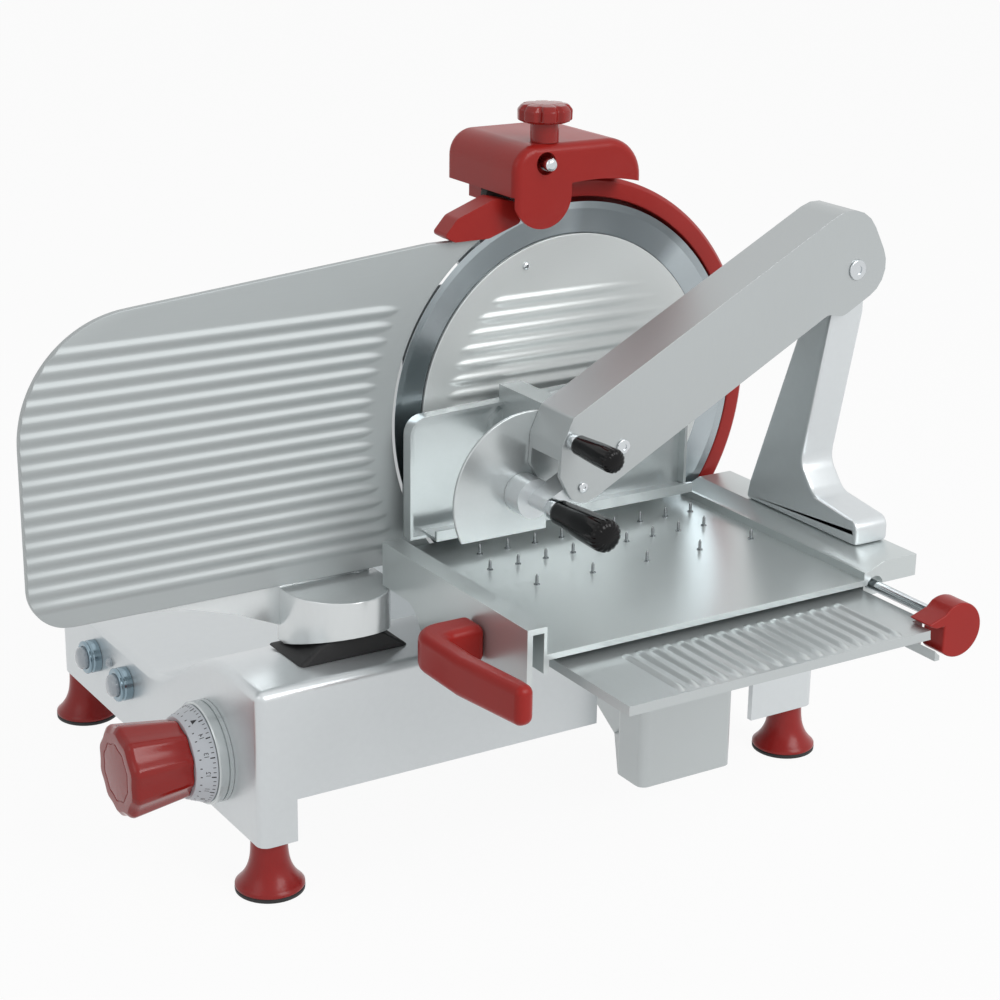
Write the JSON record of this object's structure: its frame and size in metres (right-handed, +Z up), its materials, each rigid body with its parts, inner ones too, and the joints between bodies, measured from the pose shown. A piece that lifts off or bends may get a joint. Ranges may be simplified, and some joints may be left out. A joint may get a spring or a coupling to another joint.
{
  "type": "ham slicer",
  "caption": "Electric ham slicer: upright blade, ribbed thickness gauge plate, meat table with spikes on a sliding carriage, press arm with pusher plate, sharpener hood, dial and buttons.",
  "frame": {"origin": "middle of the bounding box's underside, on the ground under the feet", "axes": "X right along the carriage's travel, Y from the meat table towards the slices, Z up"},
  "size_m": [0.7484, 0.7246, 0.6263],
  "materials": {
    "cast_aluminium": "satin casting",
    "satin_aluminium": "anodised satin",
    "steel": "polished",
    "chrome": "bright",
    "red_plastic": "gloss",
    "foot_plastic": "gloss",
    "black_plastic": "gloss",
    "black_rubber": "matt",
    "white_scale": "matt",
    "button_plastic": "gloss",
    "stone": "gritty, matt",
    "motor_paint": "satin paint"
  },
  "bodies": {
    "base": {"base_casting": "cast_aluminium", "bottom_cover": "satin_aluminium", "foot_front_left": "foot_plastic", "foot_front_right": "foot_plastic", "foot_rear_left": "foot_plastic", "foot_rear_right": "foot_plastic", "cord_gland": "black_rubber", "dial_ring": "satin_aluminium", "start_bezel": "satin_aluminium", "stop_bezel": "satin_aluminium", "lamp": "button_plastic", "gauge_seal": "black_rubber", "gauge_guide": "steel", "blade_cover": "satin_aluminium", "cover_tie_knob": "black_plastic", "spindle_bearing": "steel", "belt": "black_rubber", "motor": "motor_paint", "motor_case": "satin_aluminium", "blade_housing": "cast_aluminium", "ring_guard": "red_plastic", "guard_wedge": "red_plastic", "slice_deflector": "satin_aluminium", "sharpener_post": "steel", "carriage_rail": "steel"},
    "blade": {"blade": "steel", "spindle": "steel", "spindle_pulley": "cast_aluminium"},
    "motor_pulley": {"motor_pulley": "cast_aluminium"},
    "dial": {"dial_scale": "white_scale", "dial_knob": "red_plastic", "dial_shaft": "steel"},
    "gauge": {"gauge_plate": "satin_aluminium", "gauge_support": "cast_aluminium"},
    "start_button": {"start_button": "button_plastic"},
    "stop_button": {"stop_button": "button_plastic"},
    "sharpener": {"sharpener_hood": "red_plastic"},
    "sharpener_knob": {"sharpener_knob": "red_plastic"},
    "grinding_stone": {"grinding_stone": "stone"},
    "honing_pin": {"honing_pin": "chrome"},
    "carriage": {"carriage": "satin_aluminium", "table_rod": "chrome", "rod_end": "red_plastic"},
    "table": {"meat_table": "satin_aluminium", "table_handle": "red_plastic", "arm_column": "cast_aluminium", "arm_pin": "steel"},
    "arm": {"press_arm": "satin_aluminium", "grip_link": "cast_aluminium", "hand_guard": "cast_aluminium", "grip_ferrule": "chrome", "main_grip": "black_plastic", "small_grip": "black_plastic", "link_screw": "steel"},
    "press": {"press_plate": "satin_aluminium", "press_bolt": "steel"}
  },
  "joints": [
    {"name": "blade_spin", "type": "hinge", "parent": "base", "child": "blade", "pos_m": [0.12825, 0, 0.362], "axis": [0, 1, 0], "continuous": true},
    {"name": "motor_spin", "type": "hinge", "parent": "base", "child": "motor_pulley", "pos_m": [0.24825, 0, 0.274], "axis": [0, 1, 0], "continuous": true},
    {"name": "dial_turn", "type": "hinge", "parent": "base", "child": "dial", "pos_m": [-0.3, -0.00025, 0.102], "axis": [-1, 0, 0], "range_deg": [0, 300]},
    {"name": "gauge_slide", "type": "slide", "parent": "base", "child": "gauge", "axis": [0, 1, 0], "range_m": [0, 0.0158]},
    {"name": "start_press", "type": "slide", "parent": "base", "child": "start_button", "axis": [1, 0, 0], "range_m": [0, 0.004], "stiffness_N_per_m": 400, "springref_m": -0.001},
    {"name": "stop_press", "type": "slide", "parent": "base", "child": "stop_button", "axis": [1, 0, 0], "range_m": [0, 0.004], "stiffness_N_per_m": 400, "springref_m": -0.001},
    {"name": "sharpener_lift", "type": "slide", "parent": "base", "child": "sharpener", "axis": [0, 0, 1], "range_m": [0, 0.03]},
    {"name": "sharpener_knob_turn", "type": "hinge", "parent": "sharpener", "child": "sharpener_knob", "pos_m": [0.08825, -0.02325, 0.594], "axis": [0, 0, 1], "range_deg": [-180, 180]},
    {"name": "grinding_spin", "type": "hinge", "parent": "sharpener", "child": "grinding_stone", "pos_m": [0.06228, 0, 0.546], "axis": [0, 1, 0], "continuous": true},
    {"name": "honing_press", "type": "slide", "parent": "sharpener", "child": "honing_pin", "axis": [0, 1, 0], "range_m": [0, 0.004], "stiffness_N_per_m": 300, "springref_m": -0.001},
    {"name": "carriage_slide", "type": "slide", "parent": "base", "child": "carriage", "axis": [1, 0, 0], "range_m": [-0.28, 0.04]},
    {"name": "table_slide", "type": "slide", "parent": "carriage", "child": "table", "axis": [0, 1, 0], "range_m": [-0.06, 0]},
    {"name": "arm_pivot", "type": "hinge", "parent": "table", "child": "arm", "pos_m": [0.29015, -0.169, 0.4973], "axis": [0, 1, 0], "range_deg": [0, 35]},
    {"name": "press_swing", "type": "hinge", "parent": "arm", "child": "press", "pos_m": [0.05829, -0.169, 0.37958], "axis": [0, 1, 0], "range_deg": [-6, 3]}
  ],
  "couplings": [
    {"joint": "motor_spin", "follows": "blade_spin", "ratio": 2.25},
    {"joint": "gauge_slide", "follows": "dial_turn", "m_per_rad": 0.003}
  ]
}
